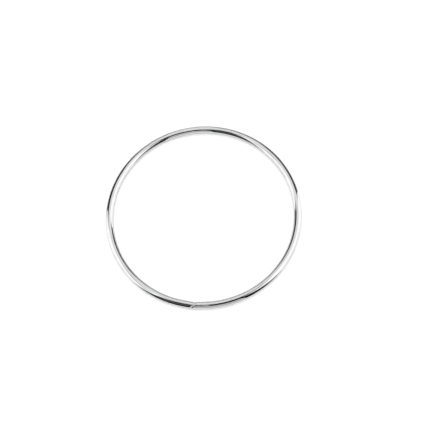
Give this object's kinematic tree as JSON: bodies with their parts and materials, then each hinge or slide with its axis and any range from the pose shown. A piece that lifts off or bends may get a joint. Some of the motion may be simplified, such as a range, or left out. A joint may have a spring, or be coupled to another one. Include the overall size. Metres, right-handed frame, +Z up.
{
  "type": "wreath frame ring",
  "caption": "Plain closed ring of round polished wire with a slanted butt weld, used as the base of a small wreath.",
  "frame": {"origin": "centre of the ring, on the surface that it lies on", "axes": "+Z up, square to the ring's plane; -Y towards the front, with the welded joint 15 degrees left of it"},
  "size_m": [0.162, 0.162, 0.0062],
  "materials": {
    "plated_wire": "bright polished plating",
    "plated_weld": "plated over a dressed weld, slightly duller than the wire"
  },
  "bodies": {
    "root": {"ring_wire": "plated_wire", "butt_weld": "plated_weld"}
  },
  "joints": []
}
